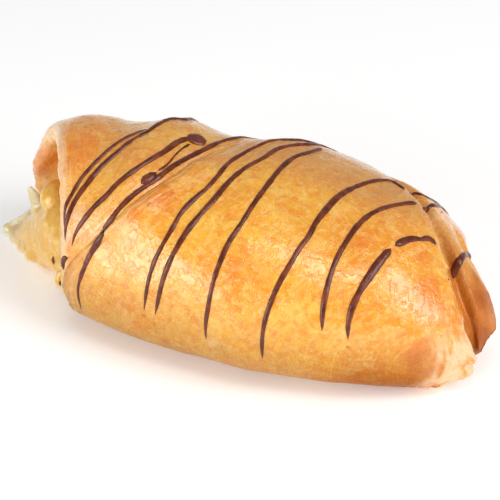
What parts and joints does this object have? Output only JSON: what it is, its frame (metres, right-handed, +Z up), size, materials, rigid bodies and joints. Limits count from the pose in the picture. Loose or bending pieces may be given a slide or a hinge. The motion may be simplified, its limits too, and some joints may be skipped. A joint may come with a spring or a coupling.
{
  "type": "danish pastry",
  "caption": "Filled danish pastry of laminated dough folded over from two sides, glazed and striped with chocolate, with its filling bulging from one end.",
  "frame": {"origin": "on the ground under the middle of the pastry's box", "axes": "+X along the pastry from the end where the filling bulges out to the pinched end, -Y towards the front with the outer flap's long slope, +Z up"},
  "size_m": [0.1482, 0.0732, 0.0506],
  "materials": {
    "crust": "baked, egg-washed and glossy",
    "filling": "wet and translucent",
    "chocolate": "set, with a soft gloss"
  },
  "bodies": {
    "root": {"dough": "crust", "filling": "filling"}
  },
  "joints": []
}
